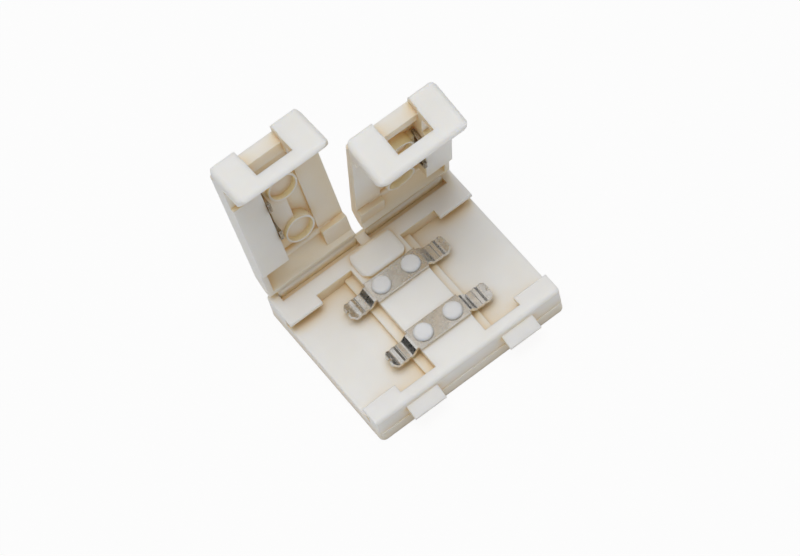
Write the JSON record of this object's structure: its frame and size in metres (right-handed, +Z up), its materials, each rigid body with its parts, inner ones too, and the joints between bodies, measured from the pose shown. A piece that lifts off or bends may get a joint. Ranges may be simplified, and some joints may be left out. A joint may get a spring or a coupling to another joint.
{
  "type": "led strip connector",
  "caption": "Solderless clip connector for a flat light strip: moulded base with plated spring contacts and flip lids on living hinges that snap shut.",
  "frame": {"origin": "middle of the strip channel, on the flat underside of the base", "axes": "+X along the strips, +Y towards the hinge side, +Z up out of the channel"},
  "size_m": [0.0162, 0.0172, 0.0172],
  "materials": {
    "plastic": "milky, satin gloss",
    "plating": "bright tin plating"
  },
  "bodies": {
    "base": {"base": "plastic", "rear_contact": "plating", "front_contact": "plating", "left_hinge": "plastic", "right_hinge": "plastic"},
    "left_lid": {"left_lid": "plastic", "left_clip": "plating"},
    "right_lid": {"right_lid": "plastic", "right_clip": "plating"}
  },
  "joints": [
    {"name": "left_lid_hinge", "type": "hinge", "parent": "base", "child": "left_lid", "pos_m": [-0.00387, 0.00692, 0.00281], "axis": [1, 0, 0], "range_deg": [-52.5, 97.5]},
    {"name": "right_lid_hinge", "type": "hinge", "parent": "base", "child": "right_lid", "pos_m": [0.00387, 0.00692, 0.00281], "axis": [1, 0, 0], "range_deg": [-71.9, 78.1]}
  ]
}
